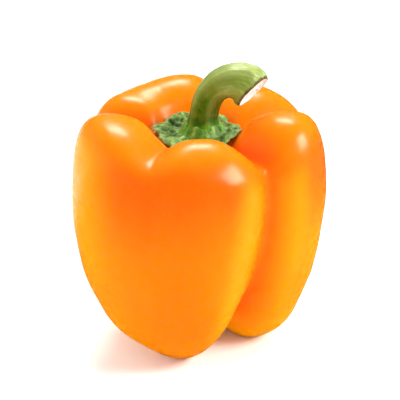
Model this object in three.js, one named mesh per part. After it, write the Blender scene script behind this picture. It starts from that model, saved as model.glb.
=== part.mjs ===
// Bell pepper: one ripe block-shaped fruit with its green calyx and cut stem.
// Millimetres, +Z up. The pepper stands on the flat tips of three of its feet, at z = 0,
// and the origin is the middle of its footprint.
//
// The fruit is one closed skin. Its columns run down the crests of the lobes and down the
// grooves between them, and each column is a smooth curve through the rings of a profile:
// seat of the calyx, crest, shoulder, widest side, foot and dimple at the blossom end.

import * as THREE from 'three';

// ---------------------------------------------------------------- driving dimensions

// Azimuths are degrees counted anticlockwise from +X, seen from above: at the seat, at the
// widest side and at the foot. Each pair of numbers is [radius, height]. fullness is the power
// of the arc below the widest side: 2 is an ellipse, more is squarer.
const LOBES = [
  { az: [196, 196.2, 198], crest: [32.5, 89.0], side: [42.8, 63.5], foot: [15.0, 7.0], fullness: 2.6 },
  { az: [274, 270.9, 243], crest: [26.0, 88.0], side: [40.4, 69.0], foot: [14.0, -0.8], fullness: 2.1 },
  { az: [347, 348.4, 361], crest: [33.4, 89.0], side: [44.2, 65.5], foot: [18.0, -0.8], fullness: 2.15 },
  { az: [410, 410.3, 413], crest: [29.0, 86.0], side: [44.6, 65.0], foot: [18.0, 0.6], fullness: 2.15 },
  { az: [459, 459.7, 466], crest: [28.5, 87.6], side: [42.5, 64.0], foot: [18.5, -0.8], fullness: 2.15 },
  { az: [501, 500.9, 500], crest: [29.5, 85.6], side: [41.4, 64.5], foot: [18.0, 0.6], fullness: 2.1 },
];

// The groove after each lobe, in the same order: how far it drops below the crests and what
// share of that is left at the brow, how deep it cuts into the side, and how far it rises and
// draws in at the foot.
const GROOVES = [
  { az: [229, 248.0, 226], drop: 5.6, brow: 0.45, depth: 0.3, rise: 0.0, inset: 0.0 },
  { az: [316, 315.6, 312], drop: 11.4, brow: 1.0, depth: 9.6, rise: 19.5, inset: 6.0 },
  { az: [373, 374.0, 383], drop: 8.6, brow: 1.0, depth: 3.9, rise: 5.0, inset: 3.0 },
  { az: [436, 436.5, 441], drop: 4.5, brow: 1.0, depth: 3.5, rise: 5.0, inset: 3.0 },
  { az: [481, 481.4, 485], drop: 0.3, brow: 1.0, depth: 0.4, rise: 0.0, inset: 0.0 },
  { az: [527, 527.5, 532], drop: 9.0, brow: 1.0, depth: 4.9, rise: 5.0, inset: 3.0 },
];

const SEAT_R = 14.0;        // flat hollow that carries the calyx
const SEAT_Z = 78.0;
const DIMPLE_Z = 8.0;       // top of the dimple at the blossom end
const CREASE_POWER = 2.6;   // how sharply a lobe falls into its groove
const CREASE_ROUND = 0.1;   // rounding at the bottom of a groove, as a share of the half lobe
const HALF_LOBE_STEPS = 6;  // columns from a crest to the next groove
const PROFILE_STEPS = 42;   // rows from the seat to the dimple

const GAP = 0.35;           // clearance between pieces that touch

const CALYX_R = 12.6;       // calyx radius between its points
const CALYX_POINT = 2.3;    // how far its points reach beyond that
const CALYX_LEAN = 0.9;     // how far the disc reaches out further towards CALYX_LEAN_AZ
const CALYX_LEAN_AZ = 235;
const CALYX_SPREAD = 1.9;   // how far it also spreads towards CALYX_LIFT_AZ
const CALYX_LIFT = 1.3;     // how far its rim stands up there
const CALYX_LIFT_AZ = 338;
const CALYX_STIFF_Z = 79.9; // the outer leaf hangs no lower than this over the grooves
const CALYX_POINTS = 6;
const CALYX_TURN = -7;      // azimuth of the first point, degrees
const CALYX_RIM = 1.1;      // thickness at the rim
const CALYX_TOP_Z = 81.0;   // flat hub that carries the stem
const CALYX_HUB_R = 7.0;
const CALYX_RINGS = 7;

const STEM_BASE_X = 2.4;    // the stem stands a little off the middle of the calyx
const STEM_R = 4.8;         // at mid length
const STEM_FLARE = 0.9;     // extra radius where it spreads into the calyx
const STEM_SWELL = 1.8;     // extra radius at the cut end
const STEM_KNUCKLE = 1.2;   // bulge on the outside of the bend, near the cut
const STEM_RIBS = 5;
const STEM_RIB = 0.05;      // rib height as a share of the radius
const STEM_SIDES = 24;
const STEM_STEPS = 24;
const CUT_NORMAL = new THREE.Vector3(0.67, -0.47, -0.57).normalize();

// The stem rises, bends over to +X and ends drooping, a little towards -Y.
const STEM_LINE = new THREE.CatmullRomCurve3([
  new THREE.Vector3(STEM_BASE_X, 0, CALYX_TOP_Z + GAP),
  new THREE.Vector3(2.5, 0, 86.5),
  new THREE.Vector3(3.9, 0, 92.0),
  new THREE.Vector3(7.3, -0.3, 96.8),
  new THREE.Vector3(12.2, -1.2, 98.9),
  new THREE.Vector3(16.0, -2.1, 98.0),
  new THREE.Vector3(18.6, -2.8, 95.6),
], false, 'centripetal');

// ---------------------------------------------------------------- small helpers

const radians = THREE.MathUtils.degToRad;
const mix = THREE.MathUtils.lerp;
const ease = (t) => THREE.MathUtils.smoothstep(t, 0, 1);

/** Mesh of a grid of rings, each closed round, with a point at the middle of both ends. */
function closedRings(name, rings, startPoint, endPoint, material) {
  const count = rings[0].length;
  const points = [startPoint, ...rings.flat(), endPoint];
  const index = [];
  const at = (ring, k) => 1 + ring * count + (k % count);
  for (let k = 0; k < count; k += 1) {
    index.push(0, at(0, k), at(0, k + 1));
    index.push(points.length - 1, at(rings.length - 1, k + 1), at(rings.length - 1, k));
  }
  for (let ring = 0; ring + 1 < rings.length; ring += 1) {
    for (let k = 0; k < count; k += 1) {
      index.push(at(ring, k), at(ring + 1, k), at(ring + 1, k + 1));
      index.push(at(ring, k), at(ring + 1, k + 1), at(ring, k + 1));
    }
  }
  const geometry = new THREE.BufferGeometry().setFromPoints(points);
  geometry.setIndex(index);
  geometry.computeVertexNormals();
  const mesh = new THREE.Mesh(geometry, material);
  mesh.name = name;
  return mesh;
}

// ---------------------------------------------------------------- fruit

/** How much of its groove a column takes, from 0 on the crest to 1 in the groove. */
function grooveShare(s) {
  const full = Math.hypot(1, CREASE_ROUND) - CREASE_ROUND;
  const away = (Math.hypot(1 - s, CREASE_ROUND) - CREASE_ROUND) / full;
  return Math.max(0, 1 - away) ** CREASE_POWER;
}

/**
 * One ring point of a column. A column lies between a lobe's crest (s = 0) and its groove
 * (s = 1), before or after it. drift carries its azimuth from the seat's at 0, over the side's
 * at 1, to the foot's at 2.
 */
function ringPoint(column, drift, place) {
  const { lobe, next, groove, s, after } = column;
  const azimuth = ({ az: [seat, side, foot] }) => (
    drift < 1 ? mix(seat, side, drift) : mix(side, foot, drift - 1)
  );
  const start = azimuth(lobe);
  const end = azimuth(next.lobe) + next.turn;
  const crease = azimuth(groove);
  const phi = after ? mix(start, crease, s) : mix(end, crease, s);
  const t = ease((phi - start) / (end - start));
  const share = grooveShare(s);
  const between = (key, k) => mix(lobe[key][k], next.lobe[key][k], t);
  const size = {
    crestR: between('crest', 0) - 0.15 * groove.drop * share,
    crestZ: between('crest', 1) - groove.drop * share,
    browR: between('crest', 0) - 0.15 * groove.brow * groove.drop * share,
    browZ: between('crest', 1) - groove.brow * groove.drop * share,
    sideR: between('side', 0) - groove.depth * share,
    sideZ: between('side', 1),
    footR: between('foot', 0) - groove.inset * share,
    footZ: between('foot', 1) + groove.rise * share,
    power: mix(lobe.fullness, next.lobe.fullness, t),
  };
  const [r, z] = place(size);
  return new THREE.Vector3(r * Math.cos(radians(phi)), r * Math.sin(radians(phi)), z);
}

/** Point on the arc from the widest side down to the foot, at an angle of 0 to 90 degrees. */
function lowerArc(size, degrees) {
  const out = Math.cos(radians(degrees)) ** (2 / size.power);
  const down = Math.sin(radians(degrees)) ** (2 / size.power);
  return [mix(size.footR, size.sideR, out), mix(size.sideZ, size.footZ, down)];
}

/** Point on the wall that climbs from the seat to the crest, at an angle of 0 to 90 degrees. */
function innerWall(size, degrees) {
  const out = 1 - Math.cos(radians(degrees));
  return [mix(SEAT_R, size.crestR, out), mix(SEAT_Z, size.crestZ, Math.sin(radians(degrees)))];
}

/** The rings that every column passes through, from the seat down to the dimple. */
const PROFILE = [
  [0, () => [0, SEAT_Z]],
  [0, () => [0.62 * SEAT_R, SEAT_Z]],
  [0.1, (size) => [SEAT_R, mix(SEAT_Z, size.crestZ, 0.12)]],
  [0.45, (size) => innerWall(size, 42)],
  [0.68, (size) => [size.crestR, size.crestZ]],
  [0.9, (size) => [mix(size.browR, size.sideR, 0.76), mix(size.sideZ, size.browZ, 0.707)]],
  [1, (size) => [size.sideR, size.sideZ]],
  [1.33, (size) => lowerArc(size, 24)],
  [1.72, (size) => lowerArc(size, 48)],
  [1.94, (size) => lowerArc(size, 70)],
  [2, (size) => [size.footR, size.footZ]],
  [2, (size) => [0.5 * size.footR, mix(size.footZ, DIMPLE_Z, 0.5)]],
  [2, () => [0, DIMPLE_Z]],
];

/** All the columns round the fruit, crest to groove and groove to the next crest. */
function fruitColumns() {
  const columns = [];
  LOBES.forEach((lobe, k) => {
    const last = k === LOBES.length - 1;
    const next = { lobe: LOBES[(k + 1) % LOBES.length], turn: last ? 360 : 0 };
    for (let step = 0; step < HALF_LOBE_STEPS; step += 1) {
      columns.push({ lobe, next, groove: GROOVES[k], s: step / HALF_LOBE_STEPS, after: true });
    }
    for (let step = 0; step < HALF_LOBE_STEPS; step += 1) {
      columns.push({ lobe, next, groove: GROOVES[k], s: 1 - step / HALF_LOBE_STEPS, after: false });
    }
  });
  return columns;
}

/** The smooth curve down one column, flattened where it meets the table. */
function columnCurve(column) {
  const points = PROFILE.map(([drift, place]) => ringPoint(column, drift, place));
  return new THREE.CatmullRomCurve3(points, false, 'catmullrom', 0.5);
}

/** The fruit, and its column curves, which the calyx is laid on. */
function makeFruit(material) {
  const curves = fruitColumns().map(columnCurve);
  const rings = [];
  for (let row = 1; row < PROFILE_STEPS; row += 1) {
    rings.push(curves.map((curve) => {
      const point = curve.getPoint(row / PROFILE_STEPS);
      point.z = Math.max(0, point.z);
      return point;
    }));
  }
  const top = new THREE.Vector3(0, 0, SEAT_Z);
  const bottom = new THREE.Vector3(0, 0, DIMPLE_Z);
  return { mesh: closedRings('fruit', rings, top, bottom, material), curves };
}

// ---------------------------------------------------------------- calyx

/** Height of the fruit's top along one column, at a given radius. */
function seatHeight(curve, radius) {
  let low = 0;
  let high = 4 / (PROFILE.length - 1);
  for (let step = 0; step < 30; step += 1) {
    const middle = (low + high) / 2;
    const point = curve.getPoint(middle);
    if (Math.hypot(point.x, point.y) < radius) low = middle;
    else high = middle;
  }
  return curve.getPoint(low).z;
}

/** How far an azimuth lies on the side where the calyx spreads and lifts, from 0 to 1. */
function liftedSide(phi) {
  return Math.max(0, Math.cos(phi - radians(CALYX_LIFT_AZ))) ** 3;
}

/** Radius of the calyx's ragged edge at an azimuth. */
function calyxRadius(phi) {
  const point = Math.abs(Math.cos((CALYX_POINTS / 2) * (phi - radians(CALYX_TURN)))) ** 3;
  const lean = CALYX_LEAN * Math.cos(phi - radians(CALYX_LEAN_AZ));
  const teeth = 0.3 * Math.sin(11 * phi);
  return CALYX_R + CALYX_POINT * point + lean + CALYX_SPREAD * liftedSide(phi) + teeth;
}

/** Height of the calyx's underside: it lies on the fruit, and stays stiff over the grooves. */
function calyxFloor(curve, phi, radius, share) {
  const onFruit = seatHeight(curve, radius) + GAP;
  const raised = CALYX_STIFF_Z + CALYX_LIFT * liftedSide(phi) * ease((share - 0.45) / 0.5);
  return mix(onFruit, Math.max(onFruit, raised), ease((radius - 7.5) / 4));
}

/** Height of the calyx's top: a flat hub that falls to a thin rim lying on the fruit. */
function calyxTop(x, y, phi, share, underside) {
  const fromHub = Math.hypot(x - STEM_BASE_X, y) - CALYX_HUB_R;
  const slope = ease(fromHub / (CALYX_R - CALYX_HUB_R));
  const rib = 0.5 * (1 + Math.cos(CALYX_POINTS * (phi - radians(CALYX_TURN))));
  const leaf = underside + CALYX_RIM * (0.8 + 0.6 * rib);
  return mix(CALYX_TOP_Z, Math.max(leaf, underside + 0.6), Math.max(slope, ease(2 * share - 1)));
}

/** The calyx: a ragged green disc that fills the seat and carries the stem. */
function makeCalyx(curves, material) {
  const top = [];
  const under = [];
  for (let ring = 1; ring <= CALYX_RINGS; ring += 1) {
    const share = ring / CALYX_RINGS;
    const topRing = [];
    const underRing = [];
    curves.forEach((curve) => {
      const seat = curve.getPoint(2 / (PROFILE.length - 1));
      const phi = Math.atan2(seat.y, seat.x);
      const radius = share * calyxRadius(phi);
      const x = radius * Math.cos(phi);
      const y = radius * Math.sin(phi);
      const floor = calyxFloor(curve, phi, radius, share);
      underRing.push(new THREE.Vector3(x, y, floor));
      topRing.push(new THREE.Vector3(x, y, calyxTop(x, y, phi, share, floor)));
    });
    top.push(topRing);
    under.push(underRing);
  }
  const rings = [...top, ...under.reverse()];
  const hub = new THREE.Vector3(0, 0, CALYX_TOP_Z);
  const floor = new THREE.Vector3(0, 0, SEAT_Z + GAP);
  return closedRings('calyx', rings, hub, floor, material);
}

// ---------------------------------------------------------------- stem

/**
 * Radius of the stem: spread at the base, plain at mid length, swollen at the cut end. theta is
 * 0 on the inside of the bend, and the knuckle sits on the outside.
 */
function stemRadius(t, theta) {
  const flare = STEM_FLARE * (1 - ease(t / 0.2));
  const swell = STEM_SWELL * ease((t - 0.45) / 0.5);
  const knuckle = STEM_KNUCKLE * Math.exp(-(((t - 0.93) / 0.11) ** 2)) * Math.max(0, -Math.cos(theta));
  return (STEM_R + flare + swell) * (1 + STEM_RIB * Math.cos(STEM_RIBS * theta)) + knuckle;
}

/** One ring of the stem. Towards the end the ring slides along the stem into the cut plane. */
function stemRing(t) {
  const centre = STEM_LINE.getPointAt(t);
  const along = STEM_LINE.getTangentAt(t);
  if (t === 0) along.set(0, 0, 1);
  const side = new THREE.Vector3(0, 1, 0).projectOnPlane(along).normalize();
  const up = new THREE.Vector3().crossVectors(side, along);
  const slide = ease((t - 0.6) / 0.4);
  const ring = [];
  for (let k = 0; k < STEM_SIDES; k += 1) {
    const theta = (2 * Math.PI * k) / STEM_SIDES;
    const radius = stemRadius(t, theta);
    const point = new THREE.Vector3();
    point.addScaledVector(up, radius * Math.cos(theta));
    point.addScaledVector(side, radius * Math.sin(theta));
    const shift = -point.dot(CUT_NORMAL) / along.dot(CUT_NORMAL);
    point.addScaledVector(along, slide * shift);
    ring.push(point.add(centre));
  }
  return ring;
}

/** The stem: one ribbed stalk, bent over and cut across. */
function makeStem(material) {
  const rings = [];
  for (let step = 0; step <= STEM_STEPS; step += 1) rings.push(stemRing(step / STEM_STEPS));
  const base = STEM_LINE.getPointAt(0);
  const end = STEM_LINE.getPointAt(1);
  return closedRings('stem', rings.reverse(), end, base, material);
}

// ---------------------------------------------------------------- assembly

const skin = new THREE.MeshStandardMaterial({ color: 0xfb8c0a, roughness: 0.22, metalness: 0 });
const calyxGreen = new THREE.MeshStandardMaterial({ color: 0x78944a, roughness: 0.6, metalness: 0 });
const stemGreen = new THREE.MeshStandardMaterial({ color: 0x7d9433, roughness: 0.5, metalness: 0 });

const fruit = makeFruit(skin);
const pepper = new THREE.Group();
pepper.name = 'bell_pepper';
pepper.add(fruit.mesh);
pepper.add(makeCalyx(fruit.curves, calyxGreen));
pepper.add(makeStem(stemGreen));

// The origin moves to the middle of the footprint.
const footprint = new THREE.Box3().setFromObject(pepper);
const middle = footprint.getCenter(new THREE.Vector3());
pepper.position.set(-middle.x, -middle.y, -footprint.min.z);
pepper.updateMatrixWorld(true);

export default pepper;
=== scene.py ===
"""Bell pepper: the finished look of the fruit, its calyx and its stem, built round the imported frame.

Every size is in metres and every angle in degrees. The fruit is a closed skin whose columns run down
the crests of its lobes and down the grooves between them. The calyx is laid on the fruit's seat, and
the stem is a ribbed section swept along a bent line and cut across.
"""
import logging
import math
from dataclasses import dataclass, field
from enum import Enum
from typing import Any

import bpy
import numpy as np
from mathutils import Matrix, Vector


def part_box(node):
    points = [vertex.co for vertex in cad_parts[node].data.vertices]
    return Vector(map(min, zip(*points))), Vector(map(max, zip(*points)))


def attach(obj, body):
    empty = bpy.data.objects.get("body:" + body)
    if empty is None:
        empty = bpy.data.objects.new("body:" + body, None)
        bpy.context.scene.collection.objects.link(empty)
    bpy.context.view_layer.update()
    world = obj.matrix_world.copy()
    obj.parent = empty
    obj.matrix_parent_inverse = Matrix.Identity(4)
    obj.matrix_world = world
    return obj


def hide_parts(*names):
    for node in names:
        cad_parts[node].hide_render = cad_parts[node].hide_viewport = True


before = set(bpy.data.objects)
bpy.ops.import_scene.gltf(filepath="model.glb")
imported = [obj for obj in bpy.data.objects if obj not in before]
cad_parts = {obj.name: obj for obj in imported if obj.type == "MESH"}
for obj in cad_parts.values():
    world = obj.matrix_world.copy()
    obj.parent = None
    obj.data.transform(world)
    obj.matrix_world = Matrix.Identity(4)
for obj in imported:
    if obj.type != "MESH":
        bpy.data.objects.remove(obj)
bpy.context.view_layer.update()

Array = np.ndarray
Colour = tuple[float, float, float]
Pair = tuple[float, float]
Triple = tuple[float, float, float]

MM = 0.001
GAP = 0.3 * MM
EYE_LEVEL = 45 * MM
BODY = "root"

log = logging.getLogger("bell_pepper")


class Ends(Enum):
    """How a spline runs at its two ends."""

    LEVEL = "level"
    FREE = "free"


class SeenIn(Enum):
    """What a lamp adds to: the light that colours things, or only what they mirror."""

    COLOUR = "colour"
    MIRROR = "mirror"


# ------------------------------------------------------------------------------ geometry helpers


def ease(t: Array) -> Array:
    """Smooth step: 0 below 0, 1 above 1 and 3t^2 - 2t^3 between.

    Args:
        t: The shares to smooth.

    Returns:
        The smoothed shares, of the same shape.
    """
    t = np.clip(t, 0.0, 1.0)
    return t * t * (3.0 - 2.0 * t)


def mix(a: Any, b: Any, t: Any) -> Any:
    """The value a share t of the way from a to b."""
    return a + (b - a) * t


def cosine(degrees: Any) -> Any:
    """Cosine of an angle in degrees."""
    return np.cos(np.radians(degrees))


def sine(degrees: Any) -> Any:
    """Sine of an angle in degrees."""
    return np.sin(np.radians(degrees))


def spline_weights(knots: Array, at: Array, ends: Ends) -> Array:
    """Weights of a cubic spline whose slope and curvature are continuous.

    The slopes at the knots solve the usual tridiagonal system. Each value is then a cubic Hermite
    blend of the two nearest knots, so the whole curve is a weighted sum of the knots' values.

    Args:
        knots: Where the given values lie, rising.
        at: Where the curve is wanted, of any shape.
        ends: LEVEL for no slope at both ends, FREE for no curvature there.

    Returns:
        An array of at's shape with one more axis, the weight of each knot's value.
    """
    count = len(knots)
    gap = np.diff(knots)
    left = np.zeros((count, count))
    right = np.zeros((count, count))
    inner = np.arange(1, count - 1)
    left[inner, inner - 1] = 1.0 / gap[:-1]
    left[inner, inner] = 2.0 / gap[:-1] + 2.0 / gap[1:]
    left[inner, inner + 1] = 1.0 / gap[1:]
    right[inner, inner - 1] = -3.0 / gap[:-1] ** 2
    right[inner, inner] = 3.0 / gap[:-1] ** 2 - 3.0 / gap[1:] ** 2
    right[inner, inner + 1] = 3.0 / gap[1:] ** 2
    left[0, 0] = left[-1, -1] = 1.0
    if ends is Ends.FREE:
        left[0, 1] = left[-1, -2] = 0.5
        right[0, :2] = -1.5 / gap[0], 1.5 / gap[0]
        right[-1, -2:] = -1.5 / gap[-1], 1.5 / gap[-1]
    slopes = np.linalg.solve(left, right)
    span = np.clip(np.searchsorted(knots, at, side="right") - 1, 0, count - 2)
    t = ((at - knots[span]) / gap[span])[..., None]
    value = np.eye(count)
    width = gap[span][..., None]
    low = (2 * t**3 - 3 * t**2 + 1) * value[span] + (t**3 - 2 * t**2 + t) * width * slopes[span]
    high = (3 * t**2 - 2 * t**3) * value[span + 1] + (t**3 - t**2) * width * slopes[span + 1]
    return low + high


def ripple(points: Array, wavelength: float, seed: float) -> Array:
    """Smooth pseudo-random ripple, about -1 to 1: a product of three tilted sine waves.

    Args:
        points: Places, with x, y and z on the last axis.
        wavelength: The distance from one crest to the next.
        seed: A number that shifts the waves.

    Returns:
        One value for each place.
    """
    x, y, z = np.moveaxis(points * (2.0 * math.pi / wavelength), -1, 0)
    first = np.sin(0.86 * x + 0.42 * y + 0.29 * z + 1.7 * seed)
    second = np.sin(-0.37 * x + 0.88 * y + 0.31 * z + 2.9 * seed)
    third = np.sin(0.24 * x - 0.33 * y + 0.91 * z + 4.3 * seed)
    return (first + second + third + first * second * third) / 3.2


def ring_normals(rings: Array) -> Array:
    """Outward unit normals of a grid of closed rings, from the cross product of its two directions.

    Args:
        rings: Points as rows of rings, with x, y and z on the last axis.

    Returns:
        One unit normal for each point.
    """
    along = np.gradient(rings, axis=0)
    around = np.roll(rings, -1, axis=1) - np.roll(rings, 1, axis=1)
    normals = np.cross(along, around)
    return normals / np.maximum(np.linalg.norm(normals, axis=-1, keepdims=True), 1e-12)


def ring_mesh(name: str, rings: Array, start: Array, end: Array) -> bpy.types.Object:
    """Closed mesh of a grid of rings, each joined round, with one point at each end.

    Neighbouring rings are joined by four-sided faces, and the first and last by fans to the points.

    Args:
        name: The new object's name.
        rings: Points as rows of rings, with x, y and z on the last axis.
        start: The point that closes the first ring.
        end: The point that closes the last ring.

    Returns:
        The new object, smooth shaded and linked to the scene.
    """
    rows, columns = rings.shape[:2]
    points = np.concatenate([start[None], rings.reshape(-1, 3), end[None]])
    here = np.arange(columns)
    after = (here + 1) % columns
    row = 1 + columns * np.arange(rows - 1)[:, None]
    walls = np.stack([row + here, row + columns + here, row + columns + after, row + after], -1)
    first = np.stack([np.zeros_like(here), 1 + here, 1 + after], -1)
    base = 1 + columns * (rows - 1)
    last = np.stack([np.full_like(here, len(points) - 1), base + after, base + here], -1)
    faces = first.tolist() + walls.reshape(-1, 4).tolist() + last.tolist()
    mesh = bpy.data.meshes.new(name)
    mesh.from_pydata(points.tolist(), [], faces)
    mesh.shade_smooth()
    mesh.validate()
    piece = bpy.data.objects.new(name, mesh)
    bpy.context.scene.collection.objects.link(piece)
    return piece


def paint(piece: bpy.types.Object, name: str, values: Array) -> None:
    """Writes one number for each point of a ring mesh, as a named attribute.

    Args:
        piece: A piece made by ring_mesh.
        name: The attribute's name.
        values: The numbers, as rows of rings. The two end points take their ring's mean.
    """
    ends = np.array([values[0].mean()]), np.array([values[-1].mean()])
    flat = np.concatenate([ends[0], values.reshape(-1), ends[1]]).astype(np.float32)
    piece.data.attributes.new(name, "FLOAT", "POINT").data.foreach_set("value", flat)


def paint_place(piece: bpy.types.Object, name: str, places: Array) -> None:
    """Writes one place for each point of a ring mesh, as a named vector attribute.

    Args:
        piece: A piece made by ring_mesh.
        name: The attribute's name.
        places: The places, as rows of rings with x, y and z on the last axis.
    """
    ends = places[:1].mean(axis=1), places[-1:].mean(axis=1)
    flat = np.concatenate([ends[0], places.reshape(-1, 3), ends[1]]).astype(np.float32)
    piece.data.attributes.new(name, "FLOAT_VECTOR", "POINT").data.foreach_set("vector", flat.reshape(-1))


# ------------------------------------------------------------------------------ shader helpers


class Graph:
    """A node tree with short methods for the nodes that the finishes use."""

    def __init__(self, tree: bpy.types.NodeTree) -> None:
        """Takes over a tree and empties it."""
        self.tree = tree
        self.tree.nodes.clear()

    def add(self, kind: str, inputs: dict[Any, Any] | None = None, **settings: Any) -> bpy.types.Node:
        """Adds a node.

        Args:
            kind: The node's type, without the leading ShaderNode.
            inputs: Socket name or number to a value, or to another node's output.
            **settings: The node's own properties.

        Returns:
            The new node.
        """
        node = self.tree.nodes.new("ShaderNode" + kind)
        for name, value in settings.items():
            setattr(node, name, value)
        for key, value in (inputs or {}).items():
            self.feed(node.inputs[key], value)
        return node

    def feed(self, socket: bpy.types.NodeSocket, value: Any) -> None:
        """Links an output to a socket, or sets the socket to a plain value.

        Args:
            socket: The input to feed.
            value: An output, a number, or a colour of three parts.
        """
        if isinstance(value, bpy.types.NodeSocket):
            self.tree.links.new(value, socket)
        elif isinstance(value, tuple) and socket.type == "RGBA":
            socket.default_value = (*value, 1.0)
        else:
            socket.default_value = value

    def math(self, operation: str, a: Any, b: Any = 0.0, clamp: bool = False) -> bpy.types.NodeSocket:
        """The result of one sum on two values."""
        return self.add("Math", {0: a, 1: b}, operation=operation, use_clamp=clamp).outputs[0]

    def span(self, value: Any, low: float, high: float, to: Pair = (0.0, 1.0)) -> bpy.types.NodeSocket:
        """Maps low..high smoothly to the two values in to."""
        ranged = {"Value": value, "From Min": low, "From Max": high, "To Min": to[0], "To Max": to[1]}
        return self.add("MapRange", ranged, interpolation_type="SMOOTHSTEP").outputs["Result"]

    def blend(self, share: Any, a: Any, b: Any) -> bpy.types.NodeSocket:
        """The colour a share of the way from a to b.

        Args:
            share: The share, a number or an output.
            a: The colour at share 0.
            b: The colour at share 1.

        Returns:
            The blended colour's output.
        """
        node = self.add("Mix", data_type="RGBA")
        self.feed(node.inputs[0], share)
        self.feed(node.inputs[6], a)
        self.feed(node.inputs[7], b)
        return node.outputs[2]

    def attribute(self, name: str, output: str = "Fac") -> bpy.types.NodeSocket:
        """A piece's own painted attribute."""
        return self.add("Attribute", attribute_name=name).outputs[output]

    def patchy(self, name: str, value: Any, low: float, high: float, to: Pair) -> bpy.types.NodeSocket:
        """A painted attribute, times a value mapped from low..high to the two values in to."""
        return self.math("MULTIPLY", self.attribute(name), self.span(value, low, high, to))

    def place(self) -> bpy.types.NodeSocket:
        """The point's place on the object."""
        return self.add("TexCoord").outputs["Object"]

    def effect(self, group: bpy.types.NodeTree, inputs: dict[str, Any]) -> bpy.types.NodeSocket:
        """Places a shared effect with its own values.

        Args:
            group: The effect's node group.
            inputs: Input names to values or outputs.

        Returns:
            The effect's mask.
        """
        node = self.tree.nodes.new("ShaderNodeGroup")
        node.node_tree = group
        for key, value in inputs.items():
            self.feed(node.inputs[key], value)
        return node.outputs["Mask"]

    def bump(self, height: Any, distance: float, strength: float = 1.0) -> bpy.types.NodeSocket:
        """A normal that follows a height."""
        node = self.add("Bump", {"Height": height, "Distance": distance, "Strength": strength})
        return node.outputs["Normal"]


def new_effect(name: str, inputs: dict[str, Any]) -> Graph:
    """Starts a shared effect: a node group with named inputs, which puts out one mask.

    Args:
        name: The group's name.
        inputs: Input names to default values, None for a vector.

    Returns:
        The graph, with its two end nodes named source and result.
    """
    tree = bpy.data.node_groups.new(name, "ShaderNodeTree")
    for key, value in inputs.items():
        kind = "NodeSocketVector" if value is None else "NodeSocketFloat"
        socket = tree.interface.new_socket(key, in_out="INPUT", socket_type=kind)
        if value is not None:
            socket.default_value = value
    tree.interface.new_socket("Mask", in_out="OUTPUT", socket_type="NodeSocketFloat")
    graph = Graph(tree)
    for name_of, kind in (("source", "NodeGroupInput"), ("result", "NodeGroupOutput")):
        tree.nodes.new(kind).name = name_of
    return graph


@dataclass
class Effects:
    """The effects that more than one finish uses, each a node group built once."""

    mottle: bpy.types.NodeTree = field(init=False)
    specks: bpy.types.NodeTree = field(init=False)

    def __post_init__(self) -> None:
        """Builds the groups."""
        self.mottle = self._build_mottle()
        self.specks = self._build_specks()

    def _build_mottle(self) -> bpy.types.NodeTree:
        """Soft uneven patches: layered noise, spread about one half by a contrast.

        Returns:
            The node group.
        """
        graph = new_effect("Mottle", {"Place": None, "Scale": 50.0, "Contrast": 2.0})
        source = graph.tree.nodes["source"].outputs
        inputs = {"Vector": source["Place"], "Scale": source["Scale"], "Detail": 3.0, "Roughness": 0.55}
        noise = graph.add("TexNoise", inputs).outputs["Fac"]
        spread = graph.math("MULTIPLY", graph.math("SUBTRACT", noise, 0.5), source["Contrast"])
        mask = graph.math("ADD", spread, 0.5, clamp=True)
        graph.feed(graph.tree.nodes["result"].inputs["Mask"], mask)
        return graph.tree

    def _build_specks(self) -> bpy.types.NodeTree:
        """Small round spots, one near the middle of each cell, of which a part are left out.

        Returns:
            The node group.
        """
        graph = new_effect("Specks", {"Place": None, "Scale": 700.0, "Radius": 0.2, "Share": 0.4})
        source = graph.tree.nodes["source"].outputs
        cells = graph.add("TexVoronoi", {"Vector": source["Place"], "Scale": source["Scale"]})
        split = graph.add("SeparateColor", {"Color": cells.outputs["Color"]})
        kept = graph.math("LESS_THAN", split.outputs["Red"], source["Share"])
        inner = graph.math("MULTIPLY", source["Radius"], 0.4)
        edge = {"Value": cells.outputs["Distance"], "From Min": source["Radius"], "From Max": inner}
        spot = graph.add("MapRange", edge, interpolation_type="SMOOTHSTEP").outputs["Result"]
        graph.feed(graph.tree.nodes["result"].inputs["Mask"], graph.math("MULTIPLY", spot, kept))
        return graph.tree


def new_material(name: str) -> tuple[bpy.types.Material, Graph, bpy.types.Node]:
    """A material with one Principled shader.

    Args:
        name: The material's name.

    Returns:
        The material, its graph and the shader node.
    """
    material = bpy.data.materials.new(name)
    material.use_nodes = True
    graph = Graph(material.node_tree)
    shader = graph.add("BsdfPrincipled")
    graph.add("OutputMaterial", {"Surface": shader.outputs[0]})
    return material, graph, shader


# ------------------------------------------------------------------------------ finishes


@dataclass(frozen=True)
class Finish:
    """What is the same all over a surface: how it mirrors, and how light bleeds under it.

    The bleed is how far red, green and blue light spread, as parts of the depth.
    """

    roughness: float = 0.5
    specular: float = 0.2
    tint: Colour = (1.0, 1.0, 1.0)
    bleed_share: float = 0.0
    bleed: Colour = (0.4, 0.8, 0.15)
    bleed_depth: float = 1.0 * MM

    def start(self, name: str) -> tuple[bpy.types.Material, Graph, bpy.types.Node]:
        """Starts a material, with these values set on the shader's own sockets.

        Args:
            name: The material's name.

        Returns:
            The material, its graph and its shader node.
        """
        material, graph, shader = new_material(name)
        shader.inputs["Specular IOR Level"].default_value = self.specular
        shader.inputs["Specular Tint"].default_value = (*self.tint, 1.0)
        shader.inputs["Subsurface Weight"].default_value = self.bleed_share
        shader.inputs["Subsurface Radius"].default_value = self.bleed
        shader.inputs["Subsurface Scale"].default_value = self.bleed_depth
        return material, graph, shader


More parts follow.
